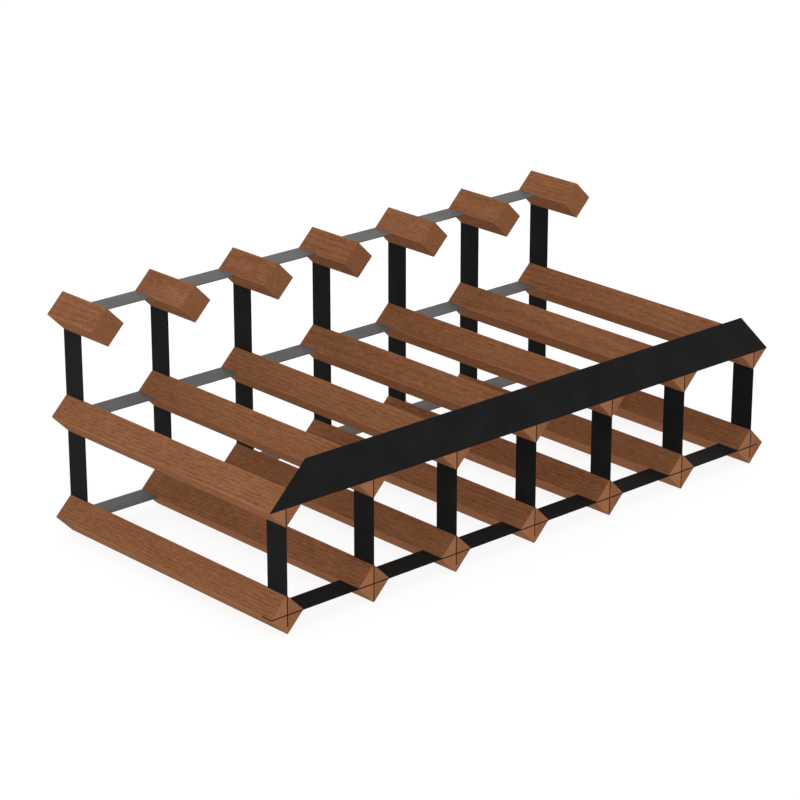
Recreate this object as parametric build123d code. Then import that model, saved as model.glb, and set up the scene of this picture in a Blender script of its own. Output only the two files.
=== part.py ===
"""Wine rack of square timber bars held at their ends by a lattice of thin steel strips.

Every bar stands on its edge, so its section is a diamond. Cross-shaped slots in the bar ends
take the steel strips edge-on, and the strips half-lap each other inside the slots. Bottles
lie between the bars: one row inside the lattice and one display row on top, which a folded
rail stops at the front and short blocks separate at the back.

Millimetres. +X runs across the columns, +Y towards the back, +Z up. The origin is at the
middle of the footprint, on the surface that the bottom bars' lower arrises stand on.
"""
from build123d import *
import os
from math import radians, sqrt, tan

# ---- driving dimensions -------------------------------------------------------------
COLUMNS = 7               # bars across, one more than the bottles in a row
COLUMN_PITCH = 96.0       # bar centre to bar centre across the rack
ROW_PITCH = 96.0          # bar centre to bar centre up the rack
BAR_SIDE = 25.0           # side of the square timber section
BAR_LENGTH = 302.0        # bottom and middle bars
BLOCK_LENGTH = 65.0       # short blocks of the top row, at the back only
STRIP_WIDTH = 25.0        # steel strip, measured front to back
STEEL_THICKNESS = 1.0     # strips and rail are one gauge
TONGUE_START = 6.0        # past the first crossing, where the front strip's end narrows
TONGUE_WIDTH = 12.5       # width of that narrowed end
RAIL_HEIGHT = 39.0        # upright face of the front rail, from the fold to its top edge
RAIL_MITRE = 45.0         # degrees, slope of the rail's cut ends
RAIL_BEND = 0.8           # outside radius of the rail's fold
BEND_LIMIT = 0.9          # largest share of the steel's thickness that the fold's radius may take
LONG_UPRIGHTS = (         # side and column (from 0) of uprights that end flush with the arris below
    ("front", 1),
    ("front", 4),
    ("front", 5),
)

# ---- fits ---------------------------------------------------------------------------
SLOT_CLEARANCE = 0.1      # between a strip's face and the side of its slot
END_CLEARANCE = 0.3       # between a strip's end and the stopped end of its slot
LAP_CLEARANCE = 0.15      # between a strip's face and the side of a half-lap notch
LAP_GAP = 0.2             # between the bottoms of two half-lap notches that meet
END_COVER = 6.9           # timber left between a slot's stopped end and the bar's arris
OPEN_PAST = 2.0           # how far a cut runs on past a face that it opens

# ---- places that follow from the sizes ------------------------------------------------
HALF_DIAGONAL = BAR_SIDE / sqrt(2)
STRIP_REACH = HALF_DIAGONAL - END_COVER - END_CLEARANCE   # of a strip past its last crossing
FRONT_FACE = (STEEL_THICKNESS - BAR_LENGTH) / 2
BACK_FACE = FRONT_FACE + BAR_LENGTH
BOTTOM, MIDDLE, TOP = 0, 1, 2
FIRST, LAST = 0, COLUMNS - 1


def column_x(column):
    """X of a column's bar centres."""
    return (column - LAST / 2) * COLUMN_PITCH


def row_z(row):
    """Z of a row's bar centres."""
    return HALF_DIAGONAL + row * ROW_PITCH


def box_between(x, y, z):
    """Axis-aligned solid between two limits on each axis."""
    middle = [(low + high) / 2 for low, high in (x, y, z)]
    size = [high - low for low, high in (x, y, z)]
    return Pos(*middle) * Box(*size)


def depth_to_y(side, depth):
    """Y limits of a depth range that is measured inwards from one side's end faces."""
    if side == "front":
        return FRONT_FACE + depth[0], FRONT_FACE + depth[1]
    return BACK_FACE - depth[1], BACK_FACE - depth[0]


# ---- steel: every strip is a list of blades, and its slots are the same blades with clearance ----
def blade(side, along, at, span, width=STRIP_WIDTH, run_out=END_CLEARANCE):
    """Describe one flat length of strip: its side, its direction, its mid-plane, ends and width.

    The run-out is how far its slot goes on past its low end: right through the arris that the
    end is flush with, or only a clearance.
    """
    place = {"side": side, "along": along, "at": at}
    return place | {"span": span, "width": width, "run_out": run_out}


def blade_solid(piece):
    """The steel itself, its outer edge flush with the bars' end faces."""
    flat = (piece["at"] - STEEL_THICKNESS / 2, piece["at"] + STEEL_THICKNESS / 2)
    y = depth_to_y(piece["side"], (0, piece["width"]))
    if piece["along"] == "x":
        return box_between(piece["span"], y, flat)
    return box_between(flat, y, piece["span"])


def blade_slot(piece):
    """The slot in the timber that takes the steel, open at the end face."""
    half = STEEL_THICKNESS / 2 + SLOT_CLEARANCE
    flat = (piece["at"] - half, piece["at"] + half)
    run = (piece["span"][0] - piece["run_out"], piece["span"][1] + END_CLEARANCE)
    y = depth_to_y(piece["side"], (-OPEN_PAST, piece["width"]))
    if piece["along"] == "x":
        return box_between(run, y, flat)
    return box_between(flat, y, run)


def crossing_notch(side, column, row, depth):
    """Half-lap notch where a crosswise strip meets an upright."""
    half = STEEL_THICKNESS / 2 + LAP_CLEARANCE
    x, z = column_x(column), row_z(row)
    return box_between((x - half, x + half), depth_to_y(side, depth), (z - half, z + half))


def inner_notches(side, row):
    """Notches in a crosswise strip, cut from its inner edge, one for each upright."""
    depth = (STRIP_WIDTH / 2 - LAP_GAP / 2, STRIP_WIDTH + OPEN_PAST)
    return [crossing_notch(side, column, row, depth) for column in range(COLUMNS)]


def outer_notches(side, column, rows):
    """Notches in an upright, cut from its outer edge, one for each crosswise strip."""
    depth = (-OPEN_PAST, STRIP_WIDTH / 2 + LAP_GAP / 2)
    return [crossing_notch(side, column, row, depth) for row in rows]


LEFT_ARRIS = column_x(FIRST) - HALF_DIAGONAL
RIGHT_ARRIS = column_x(LAST) + HALF_DIAGONAL
LEFT_FLUSH = LEFT_ARRIS + STEEL_THICKNESS / 2
LEFT_STOP = column_x(FIRST) - STRIP_REACH
RIGHT_STOP = column_x(LAST) + STRIP_REACH
TONGUE_ROOT = column_x(FIRST) - TONGUE_START

CROSSWISE = {
    ("front", BOTTOM): [
        blade("front", "x", row_z(BOTTOM), (TONGUE_ROOT, RIGHT_STOP)),
        blade("front", "x", row_z(BOTTOM), (LEFT_FLUSH, TONGUE_ROOT), TONGUE_WIDTH, OPEN_PAST),
    ],
    ("front", MIDDLE): [blade("front", "x", row_z(MIDDLE), (LEFT_STOP, RIGHT_STOP))],
    ("back", BOTTOM): [
        blade("back", "x", row_z(BOTTOM), (LEFT_FLUSH, RIGHT_STOP), run_out=OPEN_PAST),
    ],
    ("back", MIDDLE): [blade("back", "x", row_z(MIDDLE), (LEFT_STOP, RIGHT_STOP))],
    ("back", TOP): [blade("back", "x", row_z(TOP), (LEFT_STOP, RIGHT_STOP))],
}
UPRIGHT_ROWS = {"front": (BOTTOM, MIDDLE), "back": (BOTTOM, MIDDLE, TOP)}


def upright_blade(side, column):
    """One upright, from below the lowest crossing to above the highest."""
    rows = UPRIGHT_ROWS[side]
    top = row_z(rows[-1]) + STRIP_REACH
    if (side, column) in LONG_UPRIGHTS:
        return blade(side, "z", column_x(column), (STEEL_THICKNESS / 2, top), run_out=OPEN_PAST)
    return blade(side, "z", column_x(column), (row_z(rows[0]) - STRIP_REACH, top))


def crosswise_strip(side, row):
    """A strip across the rack, notched for the uprights."""
    steel = Part() + [blade_solid(piece) for piece in CROSSWISE[side, row]]
    return steel - inner_notches(side, row)


def upright_strip(side, column):
    """A strip up the rack, notched for the crosswise strips."""
    return blade_solid(upright_blade(side, column)) - outer_notches(side, column, UPRIGHT_ROWS[side])


def front_rail():
    """Folded rail: its leg lies in the middle bars' slots and its face covers their upper halves."""
    fold = row_z(MIDDLE) - STEEL_THICKNESS / 2
    top = fold + RAIL_HEIGHT
    cut_back = RAIL_HEIGHT * tan(radians(90 - RAIL_MITRE))
    outline = Plane.XZ.offset(-FRONT_FACE) * Polygon(
        (LEFT_ARRIS, fold),
        (RIGHT_ARRIS, fold),
        (RIGHT_ARRIS - cut_back, top),
        (LEFT_ARRIS + cut_back, top),
        align=None,
    )
    face = extrude(outline, STEEL_THICKNESS)
    rail = face + crosswise_strip("front", MIDDLE)
    outer_fold = rail.edges().filter_by(Axis.X).group_by(Axis.Y)[0].sort_by(Axis.Z)[0]
    return fillet(outer_fold, min(RAIL_BEND, BEND_LIMIT * STEEL_THICKNESS))


# ---- timber -------------------------------------------------------------------------
def slotted_bar(column, row, y_limits, sides):
    """A square bar on its edge, with slots for every strip that its slotted ends meet."""
    length = y_limits[1] - y_limits[0]
    place = Pos(column_x(column), sum(y_limits) / 2, row_z(row))
    timber = place * Rot(0, 45, 0) * Box(BAR_SIDE, length, BAR_SIDE)
    slots = []
    for side in sides:
        slots += [blade_slot(piece) for piece in CROSSWISE[side, row]]
        slots.append(blade_slot(upright_blade(side, column)))
    return timber - slots


def rack():
    """Every piece of the rack, by name."""
    pieces = {}
    full_length = (FRONT_FACE, BACK_FACE)
    back_only = (BACK_FACE - BLOCK_LENGTH, BACK_FACE)
    for column in range(COLUMNS):
        number = column + 1
        pieces[f"bottom_bar_{number}"] = slotted_bar(column, BOTTOM, full_length, ("front", "back"))
        pieces[f"middle_bar_{number}"] = slotted_bar(column, MIDDLE, full_length, ("front", "back"))
        pieces[f"top_block_{number}"] = slotted_bar(column, TOP, back_only, ("back",))
        pieces[f"front_upright_{number}"] = upright_strip("front", column)
        pieces[f"back_upright_{number}"] = upright_strip("back", column)
    pieces["front_bottom_strip"] = crosswise_strip("front", BOTTOM)
    pieces["front_rail"] = front_rail()
    pieces["back_bottom_strip"] = crosswise_strip("back", BOTTOM)
    pieces["back_middle_strip"] = crosswise_strip("back", MIDDLE)
    pieces["back_top_strip"] = crosswise_strip("back", TOP)
    return pieces


os.makedirs("parts", exist_ok=True)
for name, piece in rack().items():
    export_step(piece, f"parts/{name}.step")
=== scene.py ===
"""Looks of a countertop wine rack: square timber bars set on edge in a lattice of coated strips.

Metres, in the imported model's frame: +X across the columns, +Y to the back, +Z up.
"""
from math import cos, pi, radians, sin, sqrt
from random import Random

import bmesh
import bpy
from bpy.props import FloatProperty, FloatVectorProperty, PointerProperty
from mathutils import Matrix, Vector


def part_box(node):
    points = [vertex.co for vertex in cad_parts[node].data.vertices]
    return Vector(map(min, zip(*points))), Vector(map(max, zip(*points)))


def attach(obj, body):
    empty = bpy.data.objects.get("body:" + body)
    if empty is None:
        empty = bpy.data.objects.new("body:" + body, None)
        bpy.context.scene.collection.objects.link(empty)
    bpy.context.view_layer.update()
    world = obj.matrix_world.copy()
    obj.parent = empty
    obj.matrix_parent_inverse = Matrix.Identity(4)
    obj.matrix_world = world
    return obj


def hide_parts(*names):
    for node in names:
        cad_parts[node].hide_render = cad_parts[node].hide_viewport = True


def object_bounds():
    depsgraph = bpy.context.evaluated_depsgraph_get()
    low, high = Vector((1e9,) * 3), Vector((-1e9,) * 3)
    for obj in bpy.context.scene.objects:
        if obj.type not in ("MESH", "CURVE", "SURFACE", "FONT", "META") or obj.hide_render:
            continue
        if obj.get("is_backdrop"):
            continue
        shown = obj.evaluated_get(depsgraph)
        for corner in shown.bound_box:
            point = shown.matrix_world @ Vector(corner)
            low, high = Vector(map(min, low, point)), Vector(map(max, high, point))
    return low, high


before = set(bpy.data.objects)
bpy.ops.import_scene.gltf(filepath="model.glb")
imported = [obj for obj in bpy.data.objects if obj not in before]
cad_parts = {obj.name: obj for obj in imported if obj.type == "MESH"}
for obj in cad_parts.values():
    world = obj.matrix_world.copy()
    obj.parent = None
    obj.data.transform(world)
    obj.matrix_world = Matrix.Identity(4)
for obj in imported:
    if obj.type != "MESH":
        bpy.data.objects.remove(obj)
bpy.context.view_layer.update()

bl_info = {
    "name": "Timber and strip wine rack",
    "version": (1, 0, 0),
    "blender": (4, 5, 0),
    "location": "View3D > Sidebar > Wine Rack",
    "description": "Builds the bars, strips and rail of a wine rack around its packed frame",
    "category": "Object",
}

BODY = "root"
COLUMNS = sum(node.startswith("bottom_bar_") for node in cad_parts)
NUMBERS = range(1, COLUMNS + 1)
CROSSWISE = ("front_bottom_strip", "back_bottom_strip", "back_middle_strip", "back_top_strip")
CUT_PAST = 0.002          # how far a cut runs on past a surface that it opens
SAME_PLACE = 1e-6         # points nearer than this are in one place
ON_EDGE = radians(45)     # turn that stands a square bar on its arris
GRAIN_LEAN = 0.8          # degrees, the most that a bar's grain leans from its length
LOG_REACH = 40.0          # how far along its log a bar may come from, so that no two look alike

# ---- figure of the timber ---------------------------------------------------------------------
# Pattern sizes are across, along and across the grain.
WANDER_SIZE = (0.05, 0.30, 0.05)          # slow bends that shift the rings and the flecks
FIBRE_SIZE = (0.0012, 0.014, 0.0012)      # fine streaks
FLECK_SIZE = (0.0020, 0.0065, 0.0020)     # short dark and light dashes
MOTTLE_SIZE = (0.014, 0.050, 0.014)       # patches that took more or less stain
TONE_SIZE = (0.5, 2.0, 0.5)               # one bar against the next
PORE_SIZE = (0.0004, 0.0055, 0.0004)      # short open pores
WANDER_REACH = 0.012      # how far the rings and the flecks are shifted

# Depths are the most that a pattern takes the stain from light to dark.
RING_DEPTH = 0.18
FIBRE_DEPTH = 0.42
FLECK_DEPTH = 0.30
MOTTLE_DEPTH = 0.14
TONE_DEPTH = 0.10
PORE_DEPTH = 0.50         # of a fully open pore, towards the pore stain
PORE_NOISE = (0.61, 0.70)     # noise at which a pore starts to open, and is fully open

RUB_AND_HIGHLIGHT_START = 0.90          # share of a face's half width at which the rub and the painted highlight along an arris start
RUB_AND_HIGHLIGHT_WANDER = 0.05         # how far that start wanders
RUB_AND_HIGHLIGHT_DEPTH = (0.2, 0.7)    # least and most paling of the stain on an arris, partly wear and partly painted highlight
END_START = 0.998         # share of the half length at which an end face starts
END_SOFTNESS = 0.001      # width of that start
LEFT_HALF_LIGHT = 0.30         # painted light: how much lighter the left half of a front end face is coloured
HALF_SOFTNESS = 0.05      # half width of the line between the two halves

TIMBER_GLOSS = 0.005
TIMBER_ROUGHNESS = (0.74, 0.88)
TIMBER_RELIEF = 0.00006   # height of the bumps that the fibres and pores make
FIBRE_RELIEF = 0.5        # the fibres' share of those bumps

# ---- coat of the steel ------------------------------------------------------------------------
CLOUD_SIZE = (0.03, 0.03, 0.03)
CLOUD_SHADE = 0.2         # share by which the clouds are darker and lighter than the coat
CLOUD_ROUGHNESS = 0.04    # roughness that the clouds add and take away
PEEL_SIZE = (0.0011, 0.0011, 0.0011)
PEEL_RELIEF = 0.00002     # height of the orange peel

# ---- how the shader's textures run --------------------------------------------------------------
NOISE_RANGE = (0.3, 0.7)  # where most of a noise texture's values lie
WAVE_TURN = pi / 10       # a wave texture's own length for one ring


# ---- sizes and colours that a user would change -----------------------------------------
class TimberSettings(bpy.types.PropertyGroup):
    """Sizes and stain of the bars and blocks."""

    arris_ease: FloatProperty(
        name="Arris ease", description="Radius sanded along every arris",
        default=0.0004, min=0.0, unit="LENGTH")
    slot_clearance: FloatProperty(
        name="Slot clearance", description="Gap between a strip's face and its slot",
        default=0.0001, min=0.0, unit="LENGTH")
    end_clearance: FloatProperty(
        name="End clearance", description="Gap between a strip's end and its slot's stopped end",
        default=0.0003, min=0.0, unit="LENGTH")
    ring_width: FloatProperty(
        name="Ring width", description="Width of one growth ring",
        default=0.0030, min=0.0005, unit="LENGTH")
    heart_distance: FloatProperty(
        name="Heart distance", description="How far the log's heart lies from a bar's middle",
        default=0.110, min=0.0, unit="LENGTH")
    light_stain: FloatVectorProperty(
        name="Light stain", description="Stained colour of the open early wood",
        default=(0.350, 0.156, 0.075), min=0.0, max=1.0, subtype="COLOR")
    dark_stain: FloatVectorProperty(
        name="Dark stain", description="Stained colour of the dense late wood",
        default=(0.168, 0.062, 0.026), min=0.0, max=1.0, subtype="COLOR")
    pore_stain: FloatVectorProperty(
        name="Pore stain", description="Colour of the stain held in open pores",
        default=(0.090, 0.030, 0.012), min=0.0, max=1.0, subtype="COLOR")
    # paler colour along the arrises: partly handling wear, partly a painted highlight on the eased
    # edge
    worn_and_highlit_stain: FloatVectorProperty(
        name="Worn stain", description="Colour where handling has thinned the stain on an arris",
        default=(0.390, 0.175, 0.080), min=0.0, max=1.0, subtype="COLOR")


class SteelSettings(bpy.types.PropertyGroup):
    """Sizes and finish of the strips and the rail."""

    edge_ease: FloatProperty(
        name="Edge ease", description="Radius left on a cut edge by deburring and coating",
        default=0.0002, min=0.0, unit="LENGTH")
    lap_clearance: FloatProperty(
        name="Lap clearance", description="Gap between a strip's face and a half-lap notch",
        default=0.00015, min=0.0, unit="LENGTH")
    lap_gap: FloatProperty(
        name="Lap gap", description="Gap between the bottoms of two notches that meet",
        default=0.0002, min=0.0, unit="LENGTH")
    tongue_start: FloatProperty(
        name="Tongue start", description="From the first upright to where the front strip narrows",
        default=0.006, min=0.0, unit="LENGTH")
    tongue_width: FloatProperty(
        name="Tongue width", description="Width of the front strip's narrowed end",
        default=0.0125, min=0.0, unit="LENGTH")
    bend_radius: FloatProperty(
        name="Bend radius", description="Outside radius of the rail's fold",
        default=0.0008, min=0.0, unit="LENGTH")
    mitre: FloatProperty(
        name="Mitre", description="Slope of the rail's cut ends",
        default=radians(45), min=radians(10), max=radians(90), subtype="ANGLE")
    matt_coat: FloatVectorProperty(
        name="Matt coat", description="Colour of the front pieces and the uprights",
        default=(0.0106, 0.0106, 0.0104), min=0.0, max=1.0, subtype="COLOR")
    # lighter grey than the matt coat, standing in for the reflection that the back strips catch:
    # painted reflection
    reflection_grey_coat: FloatVectorProperty(
        name="Satin coat", description="Colour of the strips across the back",
        default=(0.110, 0.109, 0.107), min=0.0, max=1.0, subtype="COLOR")


class StageSettings(bpy.types.PropertyGroup):
    """Camera, floor and light."""

    azimuth: FloatProperty(
        name="Azimuth", description="Turn of the camera round the rack, from straight in front",
        default=radians(-42.14), subtype="ANGLE")
    elevation: FloatProperty(
        name="Elevation", description="Angle of the camera above the horizon",
        default=radians(20.32), subtype="ANGLE")
    distance: FloatProperty(
        name="Distance", description="From the camera to the point in the middle of its view",
        default=2.6808, min=0.1, unit="LENGTH")
    look_at: FloatVectorProperty(
        name="Look at", description="Point in the middle of the view",
        default=(-0.01916, 0.00752, 0.09795), subtype="TRANSLATION")
    lens: FloatProperty(
        name="Focal length", description="Focal length in millimetres, on a 36 mm sensor",
        default=131.75, min=10.0)
    sky: FloatProperty(
        name="Sky strength", description="Brightness of the soft white surroundings",
        default=1.05, min=0.0)
    floor_reach: FloatProperty(
        name="Floor reach", description="From the rack to the edge of the floor",
        default=12.0, min=1.0, unit="LENGTH")
    floor_colour: FloatVectorProperty(
        name="Floor colour", description="Colour of the pale floor",
        default=(0.15, 0.15, 0.15), min=0.0, max=1.0, subtype="COLOR")
    floor_glow: FloatProperty(
        name="Floor glow", description="Light that comes up through the floor, as on a light table",
        default=0.89, min=0.0)


def timber():
    """The rack's timber settings."""
    return bpy.context.scene.rack_timber


def steel():
    """The rack's steel settings."""
    return bpy.context.scene.rack_steel


def stage():
    """The rack's stage settings."""
    return bpy.context.scene.rack_stage


# ---- places read from the frame -----------------------------------------------------------
def end_faces():
    """Y of the bars' front and back end faces."""
    low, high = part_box("bottom_bar_1")
    return low.y, high.y


def steel_gauge():
    """Thickness of the steel."""
    low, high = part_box("back_top_strip")
    return high.z - low.z


def strip_width():
    """Width of the steel strips, front to back."""
    low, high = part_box("back_top_strip")
    return high.y - low.y


def strip_stop():
    """X at which a strip stops inside the last column's bars."""
    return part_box("back_top_strip")[1].x


def is_upright(node):
    """Whether a steel node stands up the rack."""
    return "_upright_" in node


def rail_leg():
    """Corners of the rail's flat leg, which lies in the middle bars' slots."""
    front = end_faces()[0]
    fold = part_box("front_rail")[0].z
    low = Vector((-strip_stop(), front, fold))
    high = Vector((strip_stop(), front + strip_width(), fold + steel_gauge()))
    return low, high


def tongued_strip():
    """Corners of the front bottom strip's full width, and of the tongue at its left end."""
    low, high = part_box("front_bottom_strip")
    upright_low, upright_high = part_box("front_upright_1")
    root = (upright_low.x + upright_high.x) / 2 - steel().tongue_start
    tongue_edge = low.y + steel().tongue_width
    full = (Vector((root, low.y, low.z)), high)
    tongue = (low, Vector((root, tongue_edge, high.z)))
    return [full, tongue]


def steel_flats():
    """Corners of every flat length of steel, by the node that it belongs to."""
    flats = {node: [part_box(node)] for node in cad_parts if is_upright(node)}
    flats.update({node: [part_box(node)] for node in CROSSWISE})
    flats["front_bottom_strip"] = tongued_strip()
    flats["front_rail"] = [rail_leg()]
    return flats


def beside_tongue():
    """Corners of the waste beside the front bottom strip's tongue."""
    low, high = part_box("front_bottom_strip")
    tongue_high = tongued_strip()[1][1]
    waste_low = Vector((low.x - CUT_PAST, tongue_high.y, low.z - CUT_PAST))
    waste_high = Vector((tongue_high.x, high.y + CUT_PAST, high.z + CUT_PAST))
    return waste_low, waste_high


def past_rail_leg():
    """Corners of the waste past each end of the rail's leg, left and right."""
    low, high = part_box("front_rail")
    leg_low, leg_high = rail_leg()
    left_low = Vector((low.x - CUT_PAST, leg_low.y, low.z - CUT_PAST))
    left_high = Vector((leg_low.x, leg_high.y + CUT_PAST, leg_high.z))
    right_low = Vector((leg_high.x, leg_low.y, low.z - CUT_PAST))
    right_high = Vector((high.x + CUT_PAST, leg_high.y + CUT_PAST, leg_high.z))
    return [(left_low, left_high), (right_low, right_high)]


def meet(first, second):
    """Whether two boxes overlap."""
    return all(
        first[0][axis] < second[1][axis] and second[0][axis] < first[1][axis]
        for axis in range(3))


def slots_in(bar):
    """Corners of the slots in a bar, one for each flat length of steel that meets it."""
    settings = timber()
    slots = []
    for node, flats in steel_flats().items():
        across, along = ("x", "z") if is_upright(node) else ("z", "x")
        grow = Vector()
        setattr(grow, across, settings.slot_clearance)
        setattr(grow, along, settings.end_clearance)
        for flat in flats:
            if not meet(flat, bar):
                continue
            low, high = flat[0] - grow, flat[1] + grow
            low.y, high.y = flat[0].y, flat[1].y
            # Steel that comes flush with an arris has a slot that runs out through it.
            if getattr(flat[0] - bar[0], along) < steel_gauge():
                setattr(low, along, getattr(low, along) - CUT_PAST)
            if node.startswith("front"):
                low.y -= CUT_PAST
            else:
                high.y += CUT_PAST
            slots.append((low, high))
    return slots


def notches_in(node):
    """Corners of a strip's half-lap notches: uprights are notched from their outer edges."""
    settings = steel()
    side = node.split("_")[0]
    face, inwards = (end_faces()[0], 1) if side == "front" else (end_faces()[1], -1)
    half = steel_gauge() / 2 + settings.lap_clearance
    flats = steel_flats()
    if is_upright(node):
        depths = (-CUT_PAST, (strip_width() + settings.lap_gap) / 2)
    else:
        depths = ((strip_width() - settings.lap_gap) / 2, strip_width() + CUT_PAST)
    near, far = sorted(face + inwards * depth for depth in depths)
    notches = []
    for other in flats:
        if not other.startswith(side) or is_upright(other) == is_upright(node):
            continue
        upright, strip = (node, other) if is_upright(node) else (other, node)
        x = sum(flats[upright][0], Vector()).x / 2
        z = sum(flats[strip][0], Vector()).z / 2
        notches.append((Vector((x - half, near, z - half)), Vector((x + half, far, z + half))))
    return notches


# ---- making pieces ------------------------------------------------------------------------
def add_box(mesh, low, high):
    """Add a box between two corners."""
    verts = bmesh.ops.create_cube(mesh, size=1.0)["verts"]
    bmesh.ops.scale(mesh, vec=high - low, verts=verts)
    bmesh.ops.translate(mesh, vec=(low + high) / 2, verts=verts)


def ease(mesh, edges, radius, segments):
    """Round edges over."""
    bmesh.ops.bevel(
        mesh, geom=edges, offset=radius, segments=segments, profile=0.5,
        affect="EDGES", material=-1)


def new_piece(name, mesh):
    """An object that holds a finished bmesh."""
    data = bpy.data.meshes.new(name)
    mesh.to_mesh(data)
    mesh.free()
    piece = bpy.data.objects.new(name, data)
    bpy.context.scene.collection.objects.link(piece)
    return piece


def cut(piece, boxes):
    """Cut boxes out of a piece for good."""
    cutters = []
    for low, high in boxes:
        mesh = bmesh.new()
        add_box(mesh, low, high)
        cutters.append(new_piece("cutter", mesh))
        saw = piece.modifiers.new("saw", "BOOLEAN")
        saw.operation = "DIFFERENCE"
        saw.solver = "EXACT"
        saw.object = cutters[-1]
    uncut = piece.data
    evaluated = piece.evaluated_get(bpy.context.evaluated_depsgraph_get())
    piece.data = bpy.data.meshes.new_from_object(evaluated)
    piece.modifiers.clear()
    bpy.data.meshes.remove(uncut)
    # Blender removes an object along with its mesh.
    for cutter in cutters:
        bpy.data.meshes.remove(cutter.data)


def fit(piece, node, material):
    """Give a piece its finish, and let it stand for its node."""
    piece.data.materials.clear()
    piece.data.materials.append(material)
    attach(piece, BODY)
    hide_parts(node)


def lay_grain(piece, middle, side):
    """Record where each point lies in the log it was sawn from, and in the bar's own section.

    In the section the bar's faces are at -1 and 1, and so are the slotted end faces along Y.
    """
    log = Random(piece.name)
    front, back = end_faces()
    square = Matrix.Rotation(-ON_EDGE, 4, "Y") @ Matrix.Translation(-middle)
    along = Matrix.Translation((0, middle.y - (front + back) / 2, 0))
    section = Matrix.Diagonal((2 / side, 2 / (back - front), 2 / side, 1)) @ along @ square
    lean = Matrix.Rotation(radians(log.uniform(-GRAIN_LEAN, GRAIN_LEAN)), 4, "X")
    turn = Matrix.Rotation(log.uniform(-pi, pi), 4, "Y")
    heart = Matrix.Translation((timber().heart_distance, log.uniform(-LOG_REACH, LOG_REACH), 0))
    places = {"section": section, "log": heart @ turn @ lean @ square}
    for name, place in places.items():
        attribute = piece.data.attributes.new(name, "FLOAT_VECTOR", "POINT")
        for vertex, point in zip(piece.data.vertices, attribute.data):
            point.vector = place @ vertex.co


def make_bar(node):
    """One square bar standing on its arris, eased, slotted and stained."""
    low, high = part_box(node)
    middle = (low + high) / 2
    side, length = (high.z - low.z) / sqrt(2), high.y - low.y
    mesh = bmesh.new()
    bmesh.ops.create_cube(mesh, size=1.0)
    bmesh.ops.scale(mesh, vec=(side, length, side), verts=mesh.verts)
    ease(mesh, mesh.edges[:], timber().arris_ease, segments=3)
    on_edge = Matrix.Rotation(ON_EDGE, 3, "Y")
    bmesh.ops.rotate(mesh, cent=(0, 0, 0), matrix=on_edge, verts=mesh.verts)
    bmesh.ops.translate(mesh, vec=middle, verts=mesh.verts)
    piece = new_piece(f"timber_{node}", mesh)
    cut(piece, slots_in((low, high)))
    lay_grain(piece, middle, side)
    fit(piece, node, stained_timber())


def make_strip(node, trims=()):
    """One straight strip with eased edges, half-lap notches and any trimmed corner."""
    mesh = bmesh.new()
    add_box(mesh, *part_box(node))
    ease(mesh, mesh.edges[:], steel().edge_ease, segments=2)
    piece = new_piece(f"steel_{node}", mesh)
    cut(piece, [*notches_in(node), *trims])
    crosses_back = node.startswith("back") and not is_upright(node)
    # the back crosswise strips get the lighter grey coat as painted reflection
    fit(piece, node, reflection_grey_steel() if crosses_back else matt_steel())


def sweep_rail(mesh):
    """Sweep the rail's folded section from end to end."""
    low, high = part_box("front_rail")
    leg_low, leg_high = rail_leg()
    section = (
        (low.y, low.z), (leg_high.y, low.z), (leg_high.y, leg_high.z),
        (leg_low.y, leg_high.z), (leg_low.y, high.z), (low.y, high.z))
    outline = mesh.faces.new([mesh.verts.new((low.x, y, z)) for y, z in section])
    swept = bmesh.ops.extrude_face_region(mesh, geom=[outline])["geom"]
    far = [item for item in swept if isinstance(item, bmesh.types.BMVert)]
    bmesh.ops.translate(mesh, vec=(high.x - low.x, 0, 0), verts=far)


def mitre_rail(mesh):
    """Cut the rail's two ends back from its fold, and close them."""
    low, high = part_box("front_rail")
    across, up = sin(steel().mitre), cos(steel().mitre)
    for end, outwards in ((low, -1), (high, 1)):
        bmesh.ops.bisect_plane(
            mesh, geom=[*mesh.verts, *mesh.edges, *mesh.faces], clear_outer=True,
            plane_co=(end.x, 0, low.z), plane_no=(outwards * across, 0, up))
        rim = [edge for edge in mesh.edges if edge.is_boundary]
        bmesh.ops.contextual_create(mesh, geom=rim)
    bmesh.ops.recalc_face_normals(mesh, faces=mesh.faces)


def round_rail_fold(piece):
    """Round the outside of the rail's fold over."""
    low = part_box("front_rail")[0]
    mesh = bmesh.new()
    mesh.from_mesh(piece.data)
    fold = [
        edge for edge in mesh.edges
        if all(abs(vert.co.y - low.y) < SAME_PLACE and abs(vert.co.z - low.z) < SAME_PLACE
               for vert in edge.verts)]
    ease(mesh, fold, steel().bend_radius, segments=5)
    mesh.to_mesh(piece.data)
    mesh.free()


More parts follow.
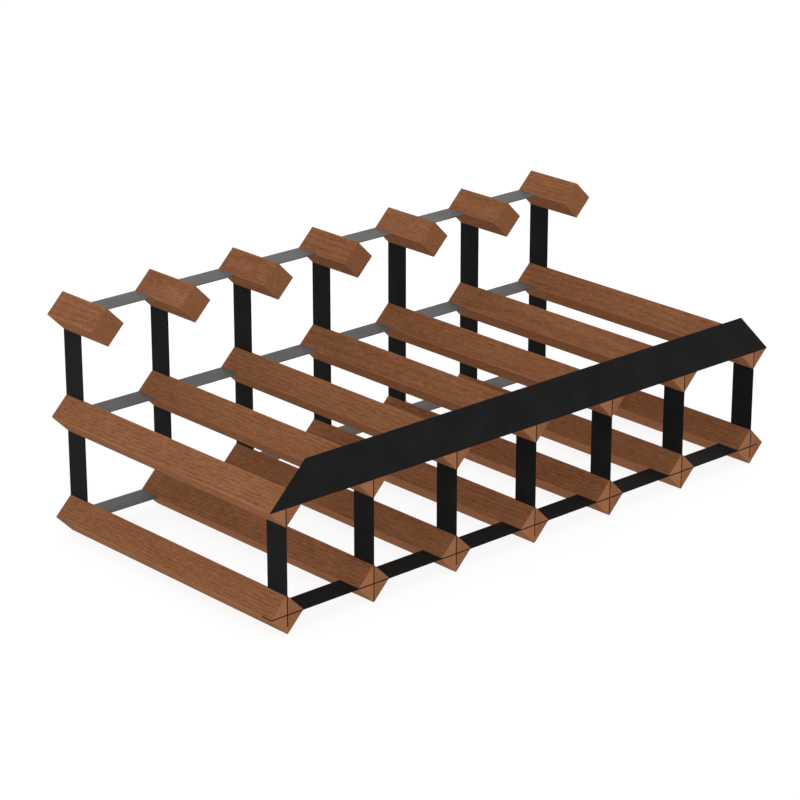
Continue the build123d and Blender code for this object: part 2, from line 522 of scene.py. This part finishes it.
# ---- materials --------------------------------------------------------------------------
class Shader:
    """A new material's nodes."""

    def __init__(self, name):
        self.material = bpy.data.materials.new(name)
        self.material.use_nodes = True
        self.tree = self.material.node_tree
        self.surface = self.tree.nodes["Principled BSDF"]

    def feed(self, socket, value):
        """Link an output to a socket, or set the socket to a plain value."""
        if isinstance(value, bpy.types.NodeSocket):
            self.tree.links.new(value, socket)
        else:
            socket.default_value = value

    def add(self, kind, inputs, **settings):
        """A new node with its settings, and its inputs fed."""
        node = self.tree.nodes.new(kind)
        for key, value in settings.items():
            setattr(node, key, value)
        for key, value in inputs.items():
            self.feed(node.inputs[key], value)
        return node

    def attribute(self, name):
        """A vector stored on the piece."""
        return self.add("ShaderNodeAttribute", {}, attribute_name=name).outputs["Vector"]

    def stretch(self, vector, size):
        """The vector divided by a size on each axis, so that a pattern gets that size."""
        scale = [1 / length for length in size]
        return self.add("ShaderNodeMapping", {"Vector": vector, "Scale": scale}).outputs["Vector"]

    def noise(self, vector, size, detail=2.0, roughness=0.5):
        """Noise of a given size."""
        inputs = {"Vector": self.stretch(vector, size), "Scale": 1.0,
                  "Detail": detail, "Roughness": roughness}
        return self.add("ShaderNodeTexNoise", inputs).outputs["Fac"]

    def rings(self, vector, width):
        """Growth rings of a given width, around the Y axis."""
        turn = width / WAVE_TURN
        inputs = {"Vector": self.stretch(vector, (turn, 1.0, turn)), "Scale": 1.0}
        return self.add(
            "ShaderNodeTexWave", inputs, wave_type="RINGS", rings_direction="Y").outputs["Fac"]

    def spread(self, value, low, high, to_low=0.0, to_high=1.0):
        """The value taken from one range to another, and held inside it."""
        inputs = {"Value": value, "From Min": low, "From Max": high,
                  "To Min": to_low, "To Max": to_high}
        return self.add("ShaderNodeMapRange", inputs).outputs["Result"]

    def vary(self, noise, low, high):
        """A noise taken from where most of its values lie to another range."""
        return self.spread(noise, *NOISE_RANGE, low, high)

    def maths(self, operation, first, second=0.0):
        """One sum of two values."""
        return self.add("ShaderNodeMath", {0: first, 1: second}, operation=operation).outputs[0]

    def blend(self, amount, first, second):
        """A colour between two others."""
        node = self.add("ShaderNodeMix", {}, data_type="RGBA")
        sockets = {socket.identifier: socket for socket in [*node.inputs, *node.outputs]}
        self.feed(sockets["Factor_Float"], amount)
        self.feed(sockets["A_Color"], first)
        self.feed(sockets["B_Color"], second)
        return sockets["Result_Color"]

    def bump(self, height, distance):
        """A surface roughened by a height."""
        inputs = {"Height": height, "Distance": distance}
        return self.add("ShaderNodeBump", inputs).outputs["Normal"]


def opaque(colour):
    """A colour setting as a colour socket takes it."""
    return (*colour, 1.0)


def timber_patterns(wood):
    """The timber's patterns, each at its place in the log."""
    log = wood.attribute("log")
    wander = wood.noise(log, WANDER_SIZE)
    shift = wood.maths("MULTIPLY", wander, WANDER_REACH)
    bent = wood.add("ShaderNodeVectorMath", {0: log, 1: shift}, operation="ADD").outputs["Vector"]
    return {
        "rings": wood.rings(bent, timber().ring_width),
        "fibre": wood.noise(log, FIBRE_SIZE, detail=3.0, roughness=0.6),
        "fleck": wood.noise(bent, FLECK_SIZE, roughness=0.6),
        "mottle": wood.noise(log, MOTTLE_SIZE),
        "tone": wood.noise(log, TONE_SIZE, detail=0.0),
        "pores": wood.noise(log, PORE_SIZE, detail=1.0),
    }


def stain_depth(wood, patterns):
    """How dark the stain lies, from the rings and the noises added up."""
    depths = {
        "fibre": FIBRE_DEPTH, "fleck": FLECK_DEPTH, "mottle": MOTTLE_DEPTH, "tone": TONE_DEPTH}
    depth = wood.maths("MULTIPLY", patterns["rings"], RING_DEPTH)
    for name, reach in depths.items():
        depth = wood.maths("ADD", depth, wood.vary(patterns[name], 0.0, reach))
    return depth


def rubbed_and_highlit_arrises(wood, place, patterns):
    """How far the stain is made paler along every arris: partly wear, partly a painted highlight.
    """
    faces = [wood.maths("ABSOLUTE", place[axis]) for axis in ("X", "Z")]
    to_arris = wood.maths("MINIMUM", *faces)
    edge = wood.maths("ADD", to_arris, wood.vary(patterns["mottle"], -RUB_AND_HIGHLIGHT_WANDER, RUB_AND_HIGHLIGHT_WANDER))
    depth = wood.vary(patterns["fleck"], *RUB_AND_HIGHLIGHT_DEPTH)
    return wood.maths("MULTIPLY", wood.spread(edge, RUB_AND_HIGHLIGHT_START, 1.0), depth)


def painted_light_on_left_half_ends(wood, place):
    """Painted light: how much lighter the colour is made on the left half of every front end face,
    standing in for light that falls on it more.
    """
    front_end = wood.spread(place["Y"], -END_START, -END_START - END_SOFTNESS)
    sideways = wood.maths("ADD", place["X"], place["Z"])
    left_half = wood.spread(sideways, HALF_SOFTNESS, -HALF_SOFTNESS)
    return wood.maths("MULTIPLY", wood.maths("MULTIPLY", front_end, left_half), LEFT_HALF_LIGHT)


def stained_timber():
    """Close-grained timber with short pores, stained mid brown and thinly sealed."""
    name = "stained timber"
    if name in bpy.data.materials:
        return bpy.data.materials[name]
    settings = timber()
    wood = Shader(name)
    patterns = timber_patterns(wood)
    place = wood.add("ShaderNodeSeparateXYZ", {"Vector": wood.attribute("section")}).outputs

    light, dark = opaque(settings.light_stain), opaque(settings.dark_stain)
    body = wood.blend(stain_depth(wood, patterns), light, dark)
    open_pore = wood.spread(patterns["pores"], *PORE_NOISE, 0.0, PORE_DEPTH)
    stained = wood.blend(open_pore, body, opaque(settings.pore_stain))
    # arrises lightened for wear and as a painted highlight
    rub_and_highlight = rubbed_and_highlit_arrises(wood, place, patterns)
    # paler where arrises are worn and painted highlit, and on the left halves of front end faces as
    # painted light
    paled = wood.maths("MAXIMUM", rub_and_highlight, painted_light_on_left_half_ends(wood, place))
    colour = wood.blend(paled, stained, opaque(settings.worn_and_highlit_stain))
    roughness = wood.vary(patterns["fibre"], *TIMBER_ROUGHNESS)
    height = wood.maths("SUBTRACT", wood.vary(patterns["fibre"], 0.0, FIBRE_RELIEF), open_pore)

    wood.feed(wood.surface.inputs["Base Color"], colour)
    wood.feed(wood.surface.inputs["Roughness"], roughness)
    wood.feed(wood.surface.inputs["Specular IOR Level"], TIMBER_GLOSS)
    wood.feed(wood.surface.inputs["Normal"], wood.bump(height, TIMBER_RELIEF))
    return wood.material


def coated_steel(name, colour, gloss, roughness):
    """Thin coat on sheet steel, faintly clouded, with a fine orange peel."""
    if name in bpy.data.materials:
        return bpy.data.materials[name]
    coat = Shader(name)
    place = coat.add("ShaderNodeTexCoord", {}).outputs["Object"]
    cloud = coat.noise(place, CLOUD_SIZE, detail=3.0)
    peel = coat.noise(place, PEEL_SIZE, detail=1.0)
    dark = opaque(value * (1 - CLOUD_SHADE) for value in colour)
    light = opaque(value * (1 + CLOUD_SHADE) for value in colour)
    clouded = coat.blend(coat.vary(cloud, 0.0, 1.0), dark, light)
    rough = coat.vary(cloud, roughness - CLOUD_ROUGHNESS, roughness + CLOUD_ROUGHNESS)

    coat.feed(coat.surface.inputs["Base Color"], clouded)
    coat.feed(coat.surface.inputs["Roughness"], rough)
    coat.feed(coat.surface.inputs["Specular IOR Level"], gloss)
    coat.feed(coat.surface.inputs["Normal"], coat.bump(peel, PEEL_RELIEF))
    return coat.material


def matt_steel():
    """Matt black steel of the front pieces and the uprights."""
    return coated_steel("matt black steel", steel().matt_coat, gloss=0.020, roughness=0.50)


def reflection_grey_steel():
    """Steel of the strips across the back: a satin coat coloured lighter grey than the front steel,
    as painted reflection.
    """
    return coated_steel("satin grey steel", steel().reflection_grey_coat, gloss=0.04, roughness=0.40)


def pale_floor():
    """Plain pale studio floor."""
    floor = Shader("pale floor")
    floor.feed(floor.surface.inputs["Base Color"], opaque(stage().floor_colour))
    floor.feed(floor.surface.inputs["Emission Color"], (1.0, 1.0, 1.0, 1.0))
    floor.feed(floor.surface.inputs["Emission Strength"], stage().floor_glow)
    floor.feed(floor.surface.inputs["Roughness"], 0.9)
    floor.feed(floor.surface.inputs["Specular IOR Level"], 0.0)
    return floor.material


# ---- operators ----------------------------------------------------------------------------
class RACK_OT_bottom_bars(bpy.types.Operator):
    """Saw, slot and stain the bottom bars"""
    bl_idname = "rack.bottom_bars"
    bl_label = "Bottom bars"

    def execute(self, context):
        for number in NUMBERS:
            make_bar(f"bottom_bar_{number}")
        return {"FINISHED"}


class RACK_OT_middle_bars(bpy.types.Operator):
    """Saw, slot and stain the middle bars"""
    bl_idname = "rack.middle_bars"
    bl_label = "Middle bars"

    def execute(self, context):
        for number in NUMBERS:
            make_bar(f"middle_bar_{number}")
        return {"FINISHED"}


class RACK_OT_top_blocks(bpy.types.Operator):
    """Saw, slot and stain the short blocks of the top row"""
    bl_idname = "rack.top_blocks"
    bl_label = "Top blocks"

    def execute(self, context):
        for number in NUMBERS:
            make_bar(f"top_block_{number}")
        return {"FINISHED"}


class RACK_OT_uprights(bpy.types.Operator):
    """Cut, notch and coat the strips that stand up the rack"""
    bl_idname = "rack.uprights"
    bl_label = "Uprights"

    def execute(self, context):
        for side in ("front", "back"):
            for number in NUMBERS:
                make_strip(f"{side}_upright_{number}")
        return {"FINISHED"}


class RACK_OT_crosswise_strips(bpy.types.Operator):
    """Cut, notch and coat the strips that run across the rack"""
    bl_idname = "rack.crosswise_strips"
    bl_label = "Crosswise strips"

    def execute(self, context):
        for node in CROSSWISE:
            make_strip(node, [beside_tongue()] if node == "front_bottom_strip" else [])
        return {"FINISHED"}


class RACK_OT_front_rail(bpy.types.Operator):
    """Fold, mitre and coat the rail that stops the upper bottles"""
    bl_idname = "rack.front_rail"
    bl_label = "Front rail"

    def execute(self, context):
        mesh = bmesh.new()
        sweep_rail(mesh)
        mitre_rail(mesh)
        piece = new_piece("steel_front_rail", mesh)
        cut(piece, [*notches_in("front_rail"), *past_rail_leg()])
        round_rail_fold(piece)
        fit(piece, "front_rail", matt_steel())
        return {"FINISHED"}


class RACK_OT_stage(bpy.types.Operator):
    """Lay the floor, light the surroundings and set the camera"""
    bl_idname = "rack.stage"
    bl_label = "Stage"

    def execute(self, context):
        settings = stage()
        mesh = bmesh.new()
        bmesh.ops.create_grid(mesh, x_segments=1, y_segments=1, size=settings.floor_reach)
        bmesh.ops.translate(mesh, vec=(0, 0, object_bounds()[0].z), verts=mesh.verts)
        floor = new_piece("floor", mesh)
        floor.data.materials.append(pale_floor())
        floor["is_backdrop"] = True

        scene = context.scene
        scene.view_settings.view_transform = "Standard"
        scene.world = bpy.data.worlds.new("soft white room")
        scene.world.use_nodes = True
        room = scene.world.node_tree.nodes["Background"]
        room.inputs["Color"].default_value = (1, 1, 1, 1)
        room.inputs["Strength"].default_value = settings.sky

        to_camera = Vector((
            sin(settings.azimuth) * cos(settings.elevation),
            -cos(settings.azimuth) * cos(settings.elevation),
            sin(settings.elevation)))
        lens = bpy.data.cameras.new("camera")
        lens.lens = settings.lens
        camera = bpy.data.objects.new("camera", lens)
        camera.location = Vector(settings.look_at) + settings.distance * to_camera
        camera.rotation_euler = (-to_camera).to_track_quat("-Z", "Y").to_euler()
        scene.collection.objects.link(camera)
        scene.camera = camera
        return {"FINISHED"}


class RACK_PT_sidebar(bpy.types.Panel):
    """Everything that makes the rack, in order"""
    bl_idname = "RACK_PT_sidebar"
    bl_label = "Wine Rack"
    bl_space_type = "VIEW_3D"
    bl_region_type = "UI"
    bl_category = "Wine Rack"

    def draw(self, context):
        for operator in OPERATORS:
            self.layout.operator(operator.bl_idname)
        for settings in (timber(), steel(), stage()):
            box = self.layout.box()
            for name in settings.__annotations__:
                box.prop(settings, name)


OPERATORS = (
    RACK_OT_bottom_bars, RACK_OT_middle_bars, RACK_OT_top_blocks, RACK_OT_uprights,
    RACK_OT_crosswise_strips, RACK_OT_front_rail, RACK_OT_stage)
CLASSES = (TimberSettings, SteelSettings, StageSettings, *OPERATORS, RACK_PT_sidebar)


def register():
    """Add the classes and their settings."""
    for kind in CLASSES:
        bpy.utils.register_class(kind)
    bpy.types.Scene.rack_timber = PointerProperty(type=TimberSettings)
    bpy.types.Scene.rack_steel = PointerProperty(type=SteelSettings)
    bpy.types.Scene.rack_stage = PointerProperty(type=StageSettings)


def unregister():
    """Take the classes and their settings away again."""
    del bpy.types.Scene.rack_stage
    del bpy.types.Scene.rack_steel
    del bpy.types.Scene.rack_timber
    for kind in reversed(CLASSES):
        bpy.utils.unregister_class(kind)


def main():
    """Make every piece and the stage."""
    register()
    bpy.ops.rack.bottom_bars()
    bpy.ops.rack.middle_bars()
    bpy.ops.rack.top_blocks()
    bpy.ops.rack.uprights()
    bpy.ops.rack.crosswise_strips()
    bpy.ops.rack.front_rail()
    bpy.ops.rack.stage()


if __name__ == "__main__":
    main()
